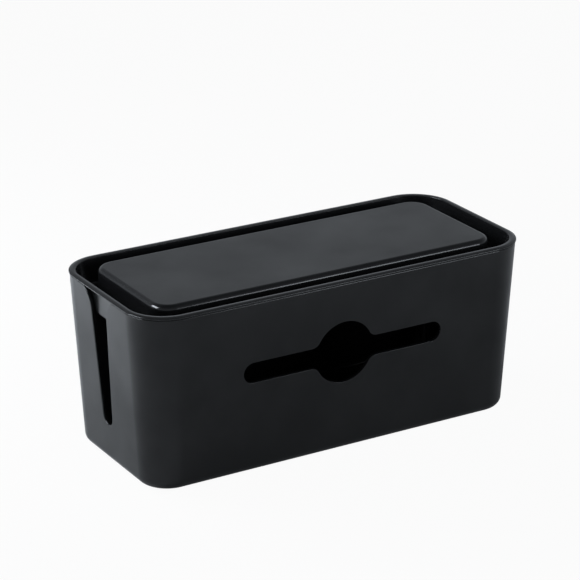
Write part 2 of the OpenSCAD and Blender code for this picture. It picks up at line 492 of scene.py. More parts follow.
class Graph:
    """The node tree of a material or a world, built from Python."""

    def __init__(self, owner: bpy.types.Material | bpy.types.World) -> None:
        """Empties the owner's node tree.

        Args:
            owner: the material or world.
        """
        owner.use_nodes = True
        self.owner = owner
        self.tree = owner.node_tree
        self.tree.nodes.clear()

    def node(
        self,
        kind: str,
        settings: dict[str, Any] | None = None,
        inputs: dict[str | int, Any] | None = None,
    ) -> bpy.types.Node:
        """Adds a node.

        Args:
            kind: the node's type.
            settings: its properties, set first.
            inputs: for each input socket, a value, a Value, a socket or a node to link.

        Returns:
            The new node.
        """
        made = self.tree.nodes.new(kind)
        for name, value in (settings or {}).items():
            setattr(made, name, value)
        for name, value in (inputs or {}).items():
            self._feed(made.inputs[name], value)
        return made

    def _feed(self, socket: bpy.types.NodeSocket, value: Any) -> None:
        """Links a value to a socket, or sets the socket's own value.

        Args:
            socket: the input socket.
            value: a value, a Value, a socket or a node.
        """
        if isinstance(value, Value):
            value = value.socket
        elif isinstance(value, bpy.types.Node):
            value = value.outputs[0]
        if isinstance(value, bpy.types.NodeSocket):
            self.tree.links.new(value, socket)
        else:
            socket.default_value = value

    def value(self, node: bpy.types.Node, output: str | int = 0) -> Value:
        """Returns a node's output as a Value."""
        return Value(self, node.outputs[output])

    def place(self) -> bpy.types.NodeSocket:
        """Returns the coordinates of the object, in metres."""
        return self.node("ShaderNodeTexCoord").outputs["Object"]

    def noise(self, grain: float, detail: float = 2.0, shift: Sequence[float] = (0.0, 0.0, 0.0)) -> Value:
        """Returns a noise over the object.

        Args:
            grain: about how wide its lumps are.
            detail: how many finer layers it has.
            shift: how far the pattern is moved.

        Returns:
            The noise, from 0 to 1.
        """
        moved = self.node("ShaderNodeMapping", {}, {"Vector": self.place(), "Location": shift})
        made = self.node(
            "ShaderNodeTexNoise",
            {"noise_dimensions": "3D"},
            {"Vector": moved, "Scale": 1 / grain, "Detail": detail},
        )
        return self.value(made, "Fac")

    def edge(self) -> Value:
        """Returns 1 on rounded edges and 0 on the faces between them."""
        settings = {"attribute_name": EDGE_LAYER, "attribute_type": "GEOMETRY"}
        return self.value(self.node("ShaderNodeAttribute", settings), "Fac")

    def mix(self, share: Value, first: Colour, second: Colour) -> bpy.types.NodeSocket:
        """Returns a blend of two colours, where the share is that of the second one."""
        inputs = {"Factor": share, 6: (*first, 1.0), 7: (*second, 1.0)}
        return self.node("ShaderNodeMix", {"data_type": "RGBA"}, inputs).outputs[2]

    def bump(self, height: Value, depth: float, below: bpy.types.Node | None = None) -> bpy.types.Node:
        """Adds a bump.

        Args:
            height: the bump's height, from 0 to 1.
            depth: its full height in metres.
            below: another bump that it lies on, if there is one.

        Returns:
            The bump, which feeds a Normal socket.
        """
        inputs = {"Height": height, "Distance": depth, "Strength": 1.0}
        if below is not None:
            inputs["Normal"] = below
        return self.node("ShaderNodeBump", {}, inputs)

    def surface(self, shader: bpy.types.Node) -> None:
        """Makes a shader the tree's result."""
        kind = "ShaderNodeOutputWorld" if shader.type == "BACKGROUND" else "ShaderNodeOutputMaterial"
        self.node(kind, {}, {"Surface": shader})

    def principled(self, inputs: dict[str | int, Any]) -> bpy.types.Material:
        """Makes a Principled shader with the given inputs the result, and returns the material."""
        self.surface(self.node("ShaderNodeBsdfPrincipled", {}, inputs))
        return self.owner


@dataclass(frozen=True)
class MouldedPlastic:
    """Black injection-moulded plastic: a fine texture, faint flow marks and smoother edges.

    Attributes:
        name: the material's name.
        colour: colour of the faces.
        highlight_and_flow_colour: colour of the rounded edges, painted lighter as a painted highlight;
            the flow variations also lean towards it.
        ior: refractive index of the plastic.
        roughness: roughness of the faces.
        cloud: how much the roughness varies from place to place.
        flow: width of those variations.
        flow_tint: how far they draw the faces towards the colour of the edges.
        edge_polish: how much smoother the rounded edges are.
        sheen_marks: how much extra gloss the flow marks give where they are strongest.
        mark: width of those marks.
        mark_shift: where the pattern of marks lies.
        mark_contrast: how clearly the marks stand out from each other.
        mark_roughness: roughness of the marks' gloss.
        mark_ior: refractive index of the marks' gloss.
        grain: width of the texture's grains.
        grain_depth: their depth.
        wave: width of the faint waves that cooling leaves in the faces.
        wave_depth: their depth.
    """

    name: str
    colour: Colour = (0.0086, 0.0088, 0.0092)
    # Lighter colour painted on the rounded edges as a painted highlight, also used by the random flow
    # variations
    highlight_and_flow_colour: Colour = (0.0102, 0.0105, 0.0110)
    ior: float = 1.45
    roughness: float = 0.21
    cloud: float = 0.07
    flow: float = 30 * MM
    flow_tint: float = 0.3
    edge_polish: float = 0.06
    sheen_marks: float = 0.5
    mark: float = 38 * MM
    mark_shift: tuple[float, float, float] = (-0.06, -0.51, 0.09)
    mark_contrast: float = 1.6
    mark_roughness: float = 0.16
    mark_ior: float = 1.5
    grain: float = 0.35 * MM
    grain_depth: float = 0.002 * MM
    wave: float = 50 * MM
    wave_depth: float = 0.2 * MM

    def build(self) -> bpy.types.Material:
        """Makes the material.

        Returns:
            The material.
        """
        graph = Graph(bpy.data.materials.new(self.name))
        flow = graph.noise(self.flow, detail=3.0)
        edge = graph.edge()
        waves = graph.bump(graph.noise(self.wave, detail=1.0), self.wave_depth)
        marks = self.mark_contrast * (graph.noise(self.mark, 3.0, self.mark_shift) - 0.5) + 0.5
        # The rounded edges take the lighter colour as a painted highlight; the flow noise draws the faces
        # towards it at random
        highlight_and_flow_share = (edge + self.flow_tint * flow).at_most(1.0)
        return graph.principled(
            {
                "Base Color": graph.mix(highlight_and_flow_share, self.colour, self.highlight_and_flow_colour),
                "Roughness": self.roughness + self.cloud * (flow - 0.5) - self.edge_polish * edge,
                "Normal": graph.bump(graph.noise(self.grain), self.grain_depth, waves),
                "IOR": self.ior,
                "Coat Weight": self.sheen_marks * marks.at_least(0.0).at_most(1.0),
                "Coat Roughness": self.mark_roughness,
                "Coat IOR": self.mark_ior,
            }
        )


@dataclass(frozen=True)
class Rubber:
    """Matt black rubber with a fine, dusty surface.

    Attributes:
        name: the material's name.
        colour: colour of the rubber.
        dust: colour where dust has settled.
        speck: width of the specks of dust.
        clean: share of the dust's pattern that stays clean.
        roughness: roughness of the rubber.
        cloud: how much the specks change it.
        grain: width of the grains.
        grain_depth: their depth.
    """

    name: str
    colour: Colour = (0.010, 0.010, 0.010)
    dust: Colour = (0.035, 0.034, 0.033)
    speck: float = 1.5 * MM
    clean: float = 0.35
    roughness: float = 0.72
    cloud: float = 0.2
    grain: float = 0.5 * MM
    grain_depth: float = 0.02 * MM

    def build(self) -> bpy.types.Material:
        """Makes the material.

        Returns:
            The material.
        """
        graph = Graph(bpy.data.materials.new(self.name))
        specks = graph.noise(self.speck, detail=4.0)
        return graph.principled(
            {
                "Base Color": graph.mix((specks - self.clean).at_least(0.0), self.colour, self.dust),
                "Roughness": self.roughness + self.cloud * (specks - 0.5),
                "Normal": graph.bump(graph.noise(self.grain), self.grain_depth),
            }
        )


@dataclass(frozen=True)
class ClearPlastic:
    """Clear plastic, as a solid that bends light or as a thin sheet.

    Attributes:
        name: the material's name.
        colour: its tint.
        haze: colour of its slight haze.
        alpha: how much of what is behind it the surface hides.
        transmission: 1 for a clear solid that bends light, 0 for a thin sheet.
        ior: refractive index of the plastic.
        roughness: its roughness.
        smoothest: the least roughness that it has anywhere.
        cloud: how much roughness and alpha vary from place to place.
        grain: width of those variations.
        ripple_depth: depth of the ripples in its surface.
    """

    name: str
    colour: Colour
    haze: Colour
    alpha: float = 1.0
    transmission: float = 0.0
    ior: float = 1.49
    roughness: float = 0.08
    smoothest: float = 0.02
    cloud: float = 0.06
    grain: float = 9 * MM
    ripple_depth: float = 0.01 * MM

    def build(self) -> bpy.types.Material:
        """Makes the material.

        Returns:
            The material.
        """
        graph = Graph(bpy.data.materials.new(self.name))
        patches = graph.noise(self.grain, detail=3.0)
        change = self.cloud * (patches - 0.5)
        inputs = {
            "Base Color": graph.mix(patches, self.colour, self.haze),
            "Roughness": (self.roughness + change).at_least(self.smoothest),
            "Normal": graph.bump(graph.noise(self.grain, detail=1.0), self.ripple_depth),
            "Transmission Weight": self.transmission,
            "IOR": self.ior,
        }
        if self.alpha < 1.0:
            inputs["Alpha"] = self.alpha + change
        return graph.principled(inputs)


class Finishes:
    """The finish of each material slot."""

    def __init__(self) -> None:
        """Builds every material once."""
        sheet = (0.80, 0.82, 0.84)
        makers = {
            Slot.BOX: MouldedPlastic("black_moulded_tub"),
            Slot.LID: MouldedPlastic("black_moulded_lid"),
            Slot.FOOT: Rubber("black_rubber"),
            Slot.BAR: ClearPlastic(
                "clear_moulded_bar", (0.93, 0.95, 0.96), haze=(0.88, 0.90, 0.92), transmission=1.0
            ),
            Slot.FILM: ClearPlastic("clear_film", sheet, haze=(0.74, 0.76, 0.78), alpha=0.1, cloud=0.03),
            Slot.ADHESIVE: ClearPlastic(
                "clear_adhesive", sheet, haze=(0.72, 0.73, 0.73), alpha=0.12, roughness=0.3, cloud=0.03
            ),
        }
        self.materials = {slot: maker.build() for slot, maker in makers.items()}

    def __getitem__(self, slot: Slot) -> bpy.types.Material:
        """Returns the material of a slot."""
        return self.materials[slot]


# ---------------------------------------------------------------- pieces


@dataclass(frozen=True)
class Piece:
    """What a finished mesh is called, rides on and stands for.

    Attributes:
        name: name of the piece.
        body: the body it rides on.
        slot: the slot it takes its finish from.
        node: the CAD node it stands for.
    """

    name: str
    body: Body
    slot: Slot
    node: str

    # How much more the large faces count in the shading than the small ones; 50 would be even
    LARGE_FACES: ClassVar[int] = 90

    def finish(self, bm: BMesh, finishes: Finishes) -> None:
        """Turns a mesh in work into this piece of the model, and reports it.

        Args:
            bm: the mesh, which is freed.
            finishes: the materials.
        """
        for face in bm.faces:
            face.smooth = True
        layer = bm.verts.layers.int.get(CORNER_LAYER)
        if layer is not None:
            bm.verts.layers.int.remove(layer)
        mesh = mesh_of(bm, self.name)
        mesh.materials.append(finishes[self.slot])
        obj = add_object(self.name, mesh)
        even = obj.modifiers.new("even_shading", "WEIGHTED_NORMAL")
        even.mode = "FACE_AREA"
        even.weight = self.LARGE_FACES
        bpy.context.view_layer.update()
        depsgraph = bpy.context.evaluated_depsgraph_get()
        shaded = bpy.data.meshes.new_from_object(obj.evaluated_get(depsgraph), depsgraph=depsgraph)
        obj.modifiers.clear()
        obj.data = shaded
        bpy.data.meshes.remove(mesh)
        shaded.name = self.name
        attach(obj, self.body.value)
        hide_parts(self.node)
        log.info("%s: %d faces, rides on %s", self.name, len(shaded.polygons), self.body.value)


@dataclass(frozen=True)
class BoxForm:
    """The form that the tub and the lid share: walls that lean in towards the base.

    Attributes:
        length: length over the rim.
        depth: depth over the rim.
        middle_y: where the middle of the box lies along Y.
        base: height of the tub's underside.
        wall_top: height of the top of the tub's walls.
        panel_top: height of the lid's raised panel.
        rim_thickness: thickness of the lid's rim, which lies on the walls.
        rim_overhang: how far the rim stands out beyond the walls.
        corner_radius: corner radius of the rim.
        draft: angle by which the walls lean.
        wall: thickness of the walls.
    """

    length: float
    depth: float
    middle_y: float
    base: float
    wall_top: float
    panel_top: float
    rim_thickness: float = 1.6 * MM
    rim_overhang: float = 0.4 * MM
    corner_radius: float = 26.3 * MM
    draft: float = math.radians(3.34)
    wall: float = 2.2 * MM

    # Number of edges along each corner
    CORNER_STEPS: ClassVar[int] = 24

    @classmethod
    def from_frame(cls) -> "BoxForm":
        """Takes the overall sizes from the frame.

        Returns:
            The form.
        """
        lid_low, lid_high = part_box("lid")
        tub_low, tub_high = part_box("box_body")
        return cls(
            length=lid_high.x - lid_low.x,
            depth=lid_high.y - lid_low.y,
            middle_y=(lid_high.y + lid_low.y) / 2,
            base=tub_low.z,
            wall_top=tub_high.z,
            panel_top=lid_high.z,
        )

    @property
    def rim_top(self) -> float:
        """Height of the top of the lid's rim."""
        return self.wall_top + self.rim_thickness

    @property
    def slope(self) -> float:
        """How far the walls move out for each metre of height."""
        return math.tan(self.draft)

    @property
    def outline(self) -> Outline:
        """The corner axes, which are the same at every height."""
        return self.outline_of(self.length, self.depth, self.corner_radius)

    def outline_of(self, length: float, depth: float, radius: float) -> Outline:
        """Returns the corner axes of a rounded rectangle about the middle of the box."""
        return Outline(length / 2 - radius, depth / 2 - radius, self.middle_y)

    def radius(self, height: float) -> float:
        """Returns the corner radius of the walls' outside at a height."""
        return self.corner_radius - self.rim_overhang - self.slope * (self.rim_top - height)

    def front_plane(self, height: float) -> Matrix:
        """Returns the plane of the front wall: across is X, up is the height above its origin.

        Args:
            height: height of the plane's origin.

        Returns:
            The plane.
        """
        foot = Vector((0.0, self.middle_y - self.outline.reach_y - self.radius(0.0), 0.0))
        axes = Matrix(((1, 0, 0), (0, -self.slope, -1), (0, 1, 0))).to_4x4()
        return Matrix.Translation(foot) @ axes @ Matrix.Translation((0.0, height, 0.0))

    def end_plane(self, side: int, shift: float) -> Matrix:
        """Returns the plane of an end wall: across is Y, up is the height.

        Args:
            side: 1 for the right end and -1 for the left end.
            shift: where the plane's own middle lies, towards the back.

        Returns:
            The plane.
        """
        axes = Matrix(((0, side * self.slope, side), (1, 0, 0), (0, 1, 0))).to_4x4()
        foot = Vector((side * (self.outline.reach_x + self.radius(0.0)), self.middle_y + shift, 0.0))
        return Matrix.Translation(foot) @ axes

    def wall_normal(self, x: int, y: int) -> Vector:
        """Returns the outward normal of the wall on the given side."""
        lean = math.cos(self.draft)
        return Vector((x * lean, y * lean, -math.sin(self.draft)))


@dataclass(frozen=True)
class Outlet:
    """The slot across the front with a round hole in its middle.

    Attributes:
        length: length of the slot.
        height: height of the slot.
        diameter: diameter of the hole.
        blend: radius between the two.
        centre: height of its middle above the underside.
    """

    length: float = 139 * MM
    height: float = 13.2 * MM
    diameter: float = 40 * MM
    blend: float = 6 * MM
    centre: float = 66.1 * MM

    # Number of edges along each kind of arc
    END_STEPS: ClassVar[int] = 20
    BLEND_STEPS: ClassVar[int] = 8
    HOLE_STEPS: ClassVar[int] = 28

    def draw(self, bm: BMesh, plane: Matrix, grow: float) -> list[BMEdge]:
        """Draws the outline.

        Args:
            bm: the mesh to draw in.
            plane: the wall's plane, with its origin at the middle of the outlet.
            grow: how far outside the outlet the wire runs.

        Returns:
            The wire's edges.
        """
        half = self.height / 2 + grow
        straight = (self.length - self.height) / 2
        blend_y = self.height / 2 + self.blend
        blend_x = math.sqrt((self.diameter / 2 + self.blend) ** 2 - blend_y**2)
        tilt = math.degrees(math.atan2(blend_y, blend_x))
        pen = Pen(bm, blend_x, -half)
        for side in (1, -1):
            pen.line(side * straight, -side * half)
            pen.arc(side * straight, 0.0, 180, self.END_STEPS)
            pen.line(side * blend_x, side * half)
            pen.arc(side * blend_x, side * blend_y, tilt - 90, self.BLEND_STEPS)
            pen.arc(0.0, 0.0, 180 - 2 * tilt, self.HOLE_STEPS)
            pen.arc(-side * blend_x, side * blend_y, tilt - 90, self.BLEND_STEPS)
        pen.close()
        return pen.place(plane)


@dataclass(frozen=True)
class EndSlot:
    """The slot in each end, open at the top.

    Attributes:
        radius: radius of its rounded bottom.
        bottom: height of its lowest point above the underside.
        lean: angle by which each side leans outwards, in degrees.
        flare: radius of the flare where it runs out at the top.
        shift: how far it lies behind the middle of the end.
    """

    radius: float = 5.8 * MM
    bottom: float = 25.6 * MM
    lean: float = 3.2
    flare: float = 13 * MM
    shift: float = 2.5 * MM

    # Number of edges along each kind of arc
    FLARE_STEPS: ClassVar[int] = 12
    BOTTOM_STEPS: ClassVar[int] = 20

    def draw(
        self, bm: BMesh, plane: Matrix, form: BoxForm, grow: float
    ) -> tuple[list[BMEdge], list[BMVert]]:
        """Draws the slot's outline from the top of the wall down and up again.

        Args:
            bm: the mesh to draw in.
            plane: the wall's plane.
            form: the form of the box.
            grow: how far outside the slot the wire runs.

        Returns:
            The wire's edges, and its two ends, from front to back.
        """
        lean = math.radians(self.lean)
        low = form.base + self.bottom + self.radius
        high = form.wall_top - self.flare
        both = self.radius + self.flare
        run = (high - low + both * math.sin(lean)) / math.cos(lean)
        flare_x = both * math.cos(lean) + run * math.sin(lean)
        small = self.radius + grow
        large = self.flare - grow
        pen = Pen(bm, -flare_x, high + large)
        pen.arc(-flare_x, high, self.lean - 90, self.FLARE_STEPS)
        pen.line(-small * math.cos(lean), low - small * math.sin(lean))
        pen.arc(0.0, low, 180 - 2 * self.lean, self.BOTTOM_STEPS)
        pen.line(flare_x - large * math.cos(lean), high + large * math.sin(lean))
        pen.arc(flare_x, high, self.lean - 90, self.FLARE_STEPS)
        return pen.place(plane), [pen.first, pen.tip]


@dataclass(frozen=True)
class PlateForm:
    """The sizes that the hanging plate and its rails share.

    Attributes:
        bar_length: length of the bar over its tongues.
        bar_height: height of the bar.
        front: where the bar's front lies along Y.
        back: where the bar's back lies along Y.
        low: height of the bar's lower edge.
        tongue_length: length of the tongue at each end.
        tongue_thickness: thickness of a tongue.
    """

    bar_length: float
    bar_height: float
    front: float
    back: float
    low: float
    tongue_length: float = 6.3 * MM
    tongue_thickness: float = 1.8 * MM

    @classmethod
    def from_frame(cls) -> "PlateForm":
        """Returns the form with its overall sizes taken from the frame."""
        low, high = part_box("hanger_bar")
        return cls(high.x - low.x, high.z - low.z, low.y, high.y, low.z)


@dataclass(frozen=True)
class Tub:
    """The moulded tub, with its openings, the recesses for its feet and the rails on its back.

    Attributes:
        form: the form of the box.
        plate: the form of the plate that hangs in the rails.
        outlet: the opening in the front.
        slot: the opening in each end.
        base_radius: radius of the rounded edge round the base.
        edge_radius: radius of the rounded edges of the walls and end slots.
        outlet_edge: radius of the crisper edges of the outlet.
        band: width of the ring of faces kept round each opening, so that its edge rounds evenly.
        recess_radius: radius of the recess round each foot.
        recess_depth: depth of that recess.
        rail_wall: thickness of a rail's web and of its stop.
        rail_lip: thickness of a rail's lip.
        lip_clearance: gap between a lip's edge and the side of the bar.
        rail_gap: gap between a tongue and its rail.
        rail_edge: radius of the rails' edges.
        rail_root: how far a rail is sunk into the wall at its lower end.
    """

    form: BoxForm
    plate: PlateForm
    outlet: Outlet = field(default_factory=Outlet)
    slot: EndSlot = field(default_factory=EndSlot)
    base_radius: float = 5.7 * MM
    edge_radius: float = 0.6 * MM
    outlet_edge: float = 0.15 * MM
    band: float = 1.7 * MM
    recess_radius: float = 7.25 * MM
    recess_depth: float = 0.8 * MM
    rail_wall: float = 2.4 * MM
    rail_lip: float = 1.8 * MM
    lip_clearance: float = 1.3 * MM
    rail_gap: float = 0.3 * MM
    rail_edge: float = 0.35 * MM
    rail_root: float = 0.6 * MM

    # Number of faces across the rounded edge of the base, and of edges round a recess
    BASE_STEPS: ClassVar[int] = 10
    RECESS_STEPS: ClassVar[int] = 48

    def build(self, finishes: Finishes) -> None:
        """Makes the tub.

        Args:
            finishes: the materials.
        """
        form = self.form
        below = form.wall_top - self.band
        bm = bmesh.new()
        stations = [
            Station(form.outline, form.radius(form.base), form.base, self.base_radius, self.BASE_STEPS),
            Station(form.outline, form.radius(below), below),
            Station(form.outline, form.radius(form.wall_top), form.wall_top),
        ]
        shell = Shell(bm, stations, form.CORNER_STEPS)
        shell.cap(0)
        outward(bm)
        shell.round_turns()
        self._open_front(bm)
        for side in (-1, 1):
            self._open_end(bm, side)
        self._face_out(bm)
        bmesh.ops.solidify(bm, geom=bm.faces[:], thickness=form.wall)
        outward(bm)
        self._round_rims(bm)
        self._recess_feet(bm)
        for side in (-1, 1):
            self._add_rail(bm, side)
        Piece("tub", Body.BOX, Slot.BOX, "box_body").finish(bm, finishes)

    def _open_front(self, bm: BMesh) -> None:
        """Cuts the outlet in the front wall.

        Args:
            bm: the mesh.
        """
        wall = largest(faces_towards(bm, self.form.wall_normal(0, -1)))
        border = list(wall.edges)
        bmesh.ops.delete(bm, geom=[wall], context="FACES_ONLY")
        plane = self.form.front_plane(self.form.base + self.outlet.centre)
        hole = self.outlet.draw(bm, plane, 0.0)
        ring = self.outlet.draw(bm, plane, self.band)
        bmesh.ops.bridge_loops(bm, edges=hole + ring)
        bmesh.ops.triangle_fill(bm, use_beauty=True, edges=border + ring)

    def _open_end(self, bm: BMesh, side: int) -> None:
        """Cuts the slot in an end wall, with a band of faces along it.

        Args:
            bm: the mesh.
            side: 1 for the right end and -1 for the left end.
        """
        walls = faces_towards(bm, self.form.wall_normal(side, 0))
        border = once(edge for face in walls for edge in face.edges)
        bmesh.ops.delete(bm, geom=walls, context="FACES_ONLY")
        level = sorted((edge for edge in border if edge.is_wire), key=lambda edge: edge.verts[0].co.z)
        under, top = level
        plane = self.form.end_plane(side, self.slot.shift)
        wires = []
        for edge, grow in ((top, 0.0), (under, self.band)):
            wire, tips = self.slot.draw(bm, plane, self.form, grow)
            ends = sorted(edge.verts, key=lambda vert: vert.co.y)
            wires.append(wire + [bm.edges.new(pair) for pair in zip(ends, tips)])
        highest = under.verts[0].co.z + SAME_PLACE
        sides = [edge for edge in border if not edge.is_wire]
        low = [edge for edge in sides if all(vert.co.z <= highest for vert in edge.verts)]
        bmesh.ops.delete(bm, geom=level, context="EDGES")
        bmesh.ops.bridge_loops(bm, edges=wires[0] + wires[1])
        bmesh.ops.triangle_fill(bm, use_beauty=True, edges=wires[1] + low)

    def _face_out(self, bm: BMesh) -> None:
        """Turns the normals of the open skin outwards.

        Args:
            bm: the mesh.
        """
        outward(bm)
        floor = min(bm.faces, key=lambda face: face.calc_center_median().z)
        if floor.normal.z > 0:
            bmesh.ops.reverse_faces(bm, faces=bm.faces[:])

    def _round_rims(self, bm: BMesh) -> None:
        """Rounds the edges of the outlet and, more softly, all the other sharp edges.

        Args:
            bm: the mesh.
        """
        reach = self.outlet.diameter / 2 + self.outlet_edge
        crisp, soft = [], []
        for edge in sharp_edges(bm):
            height = edge.verts[0].co.z - self.form.base
            in_front = edge.verts[0].co.y < self.form.middle_y - self.form.outline.reach_y
            own = in_front and abs(height - self.outlet.centre) < reach
            (crisp if own else soft).append(edge)
        round_edges(bm, soft, self.edge_radius, SOFT)
        round_edges(bm, [edge for edge in crisp if edge.is_valid], self.outlet_edge, FINE)

    def _recess_feet(self, bm: BMesh) -> None:
        """Sinks a round recess for each foot into the underside.

        Args:
            bm: the mesh.
        """
        floor = largest(faces_towards(bm, DOWN))
        border = list(floor.edges)
        bmesh.ops.delete(bm, geom=[floor], context="FACES_ONLY")
        rings = []
        for axis in self.form.outline.corners():
            place = Matrix.Translation(axis + UP * self.form.base)
            made = bmesh.ops.create_circle(
                bm, segments=self.RECESS_STEPS, radius=self.recess_radius, matrix=place
            )
            rings.append(once(edge for vert in made["verts"] for edge in vert.link_edges))
        flat = border + [edge for ring in rings for edge in ring]
        bmesh.ops.triangle_fill(bm, use_beauty=True, edges=flat)
        for ring in rings:
            made = bmesh.ops.extrude_edge_only(bm, edges=ring)["geom"]
            bmesh.ops.translate(bm, vec=UP * self.recess_depth, verts=verts_of(made))
            bmesh.ops.contextual_create(bm, geom=edges_of(made))
        outward(bm)

    def _add_rail(self, bm: BMesh, side: int) -> None:
        """Adds a rail with its lip and its stop.

        Args:
            bm: the mesh.
            side: 1 for the right rail and -1 for the left one.
        """
        plate = self.plate
        web = plate.bar_length / 2 + self.rail_gap
        lip = plate.bar_length / 2 - plate.tongue_length + self.lip_clearance
        lip_front = plate.front + plate.tongue_thickness + self.rail_gap
        stop = plate.low + plate.bar_height
        wall = self.form.middle_y + self.form.outline.reach_y + self.form.radius(plate.low)
        low = Vector((web, wall - self.rail_root, plate.low))
        high = Vector((web + self.rail_wall, lip_front + self.rail_lip, stop + self.rail_wall))
        rail = bmesh.new()
        block(rail, low, high)
        cut(rail, BACK * lip_front, BACK)
        cut(rail, UP * stop, UP)
        inner = [(face, face.calc_center_median()) for face in faces_towards(rail, LEFT)]
        reach = [face for face, middle in inner if middle.y > lip_front or middle.z > stop]
        pull_faces(rail, reach, LEFT * (web - lip))
        bmesh.ops.dissolve_limit(rail, angle_limit=FLAT_TURN, verts=rail.verts[:], edges=rail.edges[:])
        outward(rail)
        round_edges(rail, sharp_edges(rail), self.rail_edge, FINE)
        if side < 0:
            bmesh.ops.scale(rail, vec=(-1, 1, 1), verts=rail.verts[:])
            outward(rail)
        add_to(bm, rail)


@dataclass(frozen=True)
class Lid:
    """The lid: a rim that lies on the walls, a skirt inside them, a channel and a raised panel.

    Attributes:
        form: the form of the box.
        rim_side: width of the rim along the front and back.
        rim_end: width of the rim along the ends.
        channel_radius: corner radius of the rim's inner edge.
        channel_draft: angle by which the channel's outer side leans in towards its floor.
        depth: depth of the lid below the top of its rim.
        wall: thickness of the channel's floor and of the panel.
        gap: gap between the skirt and the walls.
        seam: how far the rim's underside rises towards its outer edge.
        panel_length: length of the raised panel.
        panel_depth: depth of the raised panel, front to back.
        panel_radius: corner radius of the panel.
        panel_edge: radius of the panel's rounded edge.
        panel_root: radius where the panel's side meets the channel's floor.
        channel_root: radius where the channel's outer side meets its floor.
        skirt_edge: radius of the skirt's outer lower edge.
        hollow_edge: radius of the lower edge of the hollow under the panel.
        rim_rise: how far the crest along the middle of the rim stands above its nominal top.
        rim_fall: how far the rim's outer edge lies below it.
        rim_inner_fall: how far the rim's inner edge lies below it.
        rim_crown: radius of the crest.
        rim_edge: radius of the rim's outer edge.
        rim_inner_edge: radius of the rim's inner edge.
        seam_edge: radius of the rim's lower edge at the seam.
    """

    form: BoxForm
    rim_side: float = 4.6 * MM
    rim_end: float = 3.9 * MM
    channel_radius: float = 22.4 * MM
    channel_draft: float = math.radians(6.6)
    depth: float = 17.7 * MM
    wall: float = 1.8 * MM
    gap: float = 0.3 * MM
    seam: float = 0.3 * MM
    panel_length: float = 236.6 * MM
    panel_depth: float = 87.8 * MM
    panel_radius: float = 12.5 * MM
    panel_edge: float = 3.5 * MM
    panel_root: float = 1.2 * MM
    channel_root: float = 2.0 * MM
    skirt_edge: float = 1.6 * MM
    hollow_edge: float = 0.4 * MM
    rim_rise: float = 0.25 * MM
    rim_fall: float = 0.35 * MM
    rim_inner_fall: float = 0.05 * MM
    rim_crown: float = 3.5 * MM
    rim_edge: float = 0.4 * MM
    rim_inner_edge: float = 0.4 * MM
    seam_edge: float = 0.2 * MM

    def stations(self) -> list[Station]:
        """Lists the turns of the lid's section, from under the panel round to its top.

        Returns:
            The stations.
        """
        form = self.form
        rim, outer = form.outline, form.corner_radius
        channel = form.outline_of(
            form.length - 2 * self.rim_end, form.depth - 2 * self.rim_side, self.channel_radius
        )
        crest_radius = (outer + self.channel_radius) / 2
        crest = form.outline_of(form.length - self.rim_end, form.depth - self.rim_side, crest_radius)
        panel = form.outline_of(self.panel_length, self.panel_depth, self.panel_radius)
        bottom = form.rim_top - self.depth
        floor = bottom + self.wall
        skirt = form.wall + self.gap
        inside = self.panel_radius - self.wall
        ceiling = form.panel_top - self.wall
        inner = self.channel_radius
        lean = math.tan(self.channel_draft) * (form.rim_top - floor)
        return [
            Station(panel, inside, ceiling, self.panel_edge - self.wall, segments=4),
            Station(panel, inside, bottom, self.hollow_edge, segments=2),
            Station(rim, form.radius(bottom) - skirt, bottom, self.skirt_edge, segments=4),
            Station(rim, form.radius(form.wall_top) - skirt, form.wall_top),
            Station(rim, outer, form.wall_top + self.seam, self.seam_edge, segments=3),
            Station(rim, outer, form.rim_top - self.rim_fall, self.rim_edge, segments=5),
            Station(crest, crest_radius, form.rim_top + self.rim_rise, self.rim_crown, segments=6),
            Station(channel, inner, form.rim_top - self.rim_inner_fall, self.rim_inner_edge, segments=5),
            Station(channel, inner - lean, floor, self.channel_root, segments=5),
            Station(panel, self.panel_radius, floor, self.panel_root, segments=4),
            Station(panel, self.panel_radius, form.panel_top, self.panel_edge, segments=12),
        ]

    def build(self, finishes: Finishes) -> None:
        """Makes the lid."""
        bm = Shell.solid(self.stations(), self.form.CORNER_STEPS)
        Piece("lid_panel", Body.LID, Slot.LID, "lid").finish(bm, finishes)


@dataclass(frozen=True)
class Foot:
    """A round rubber foot with a bevelled lower edge and a dished sole.

    Attributes:
        node: the CAD node that it stands for.
        bevel: radius of its lower edge.
        sole: width of the ring that the foot stands on.
        dish: depth of the hollow inside that ring.
        dish_slope: how wide the hollow's side is for its depth.
    """

    node: str
    bevel: float = 0.4 * MM
    sole: float = 2.2 * MM
    dish: float = 0.3 * MM
    dish_slope: float = 2.0

    # Number of edges round the foot
    ROUND_STEPS: ClassVar[int] = 64

    def build(self, finishes: Finishes) -> None:
        """Makes the foot.

        Args:
            finishes: the materials.
        """
        low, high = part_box(self.node)
        middle = (low + high) / 2
        radius = (high.x - low.x) / 2
        bm = bmesh.new()
        bmesh.ops.create_cone(
            bm,
            cap_ends=True,
            segments=self.ROUND_STEPS,
            radius1=radius,
            radius2=radius,
            depth=high.z - low.z,
            matrix=Matrix.Translation(middle),
        )
        outward(bm)
        lower = [edge for edge in sharp_edges(bm) if edge.verts[0].co.z < middle.z]
        round_edges(bm, lower, self.bevel, SOFT)
        sole = faces_towards(bm, DOWN)
        bmesh.ops.inset_region(bm, faces=sole, thickness=self.sole, use_even_offset=True)
        hollow = largest(faces_towards(bm, DOWN))
        slant = self.dish * self.dish_slope
        bmesh.ops.inset_region(bm, faces=[hollow], thickness=slant, depth=-self.dish)
        outward(bm)
        Piece(f"rubber_{self.node}", Body.BOX, Slot.FOOT, self.node).finish(bm, finishes)


